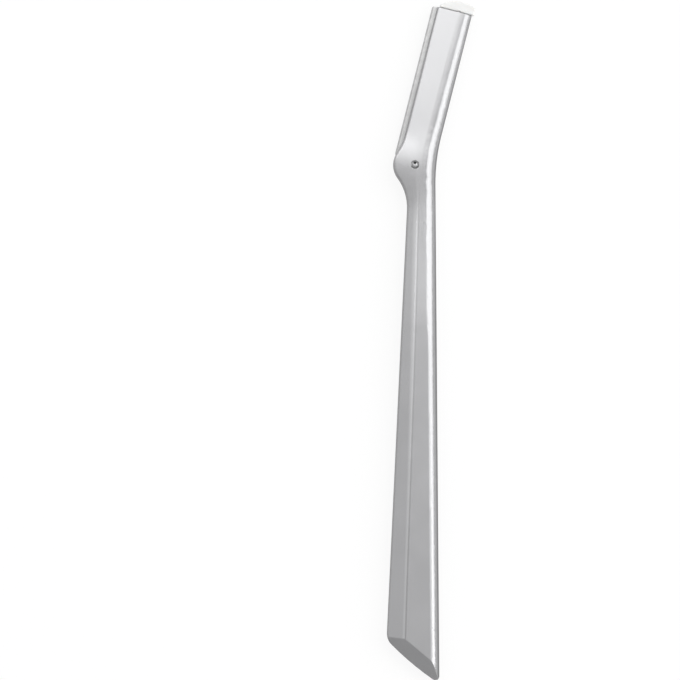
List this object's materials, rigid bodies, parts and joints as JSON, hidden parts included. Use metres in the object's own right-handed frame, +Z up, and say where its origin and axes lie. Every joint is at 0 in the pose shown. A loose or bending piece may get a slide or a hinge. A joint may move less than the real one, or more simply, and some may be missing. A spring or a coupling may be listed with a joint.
{
  "type": "eyebrow razor",
  "caption": "Slim eyebrow razor: a satin metal handle with an angled head, and a replaceable blade cartridge that slides out of the head by its white tab.",
  "frame": {"origin": "under the middle of the razor's bounding box, on the surface that it lies on", "axes": "+Y along the handle towards the head, +X from the cutting edge towards the rounded back, +Z up out of the broad side"},
  "size_m": [0.0194, 0.1492, 0.0052],
  "materials": {
    "satin_metal": "satin",
    "pin_metal": "satin",
    "blade_steel": "ground",
    "plate_steel": "rolled",
    "white_plastic": "semi-gloss"
  },
  "bodies": {
    "handle": {"handle_body": "satin_metal", "cross_pin": "pin_metal"},
    "cartridge": {"blade_strip": "blade_steel", "backing_plate": "plate_steel", "blade_carrier": "white_plastic"}
  },
  "joints": [
    {"name": "cartridge_slide", "type": "slide", "parent": "handle", "child": "cartridge", "axis": [0.2453, 0.9694, 0], "range_m": [0, 0.036]}
  ]
}
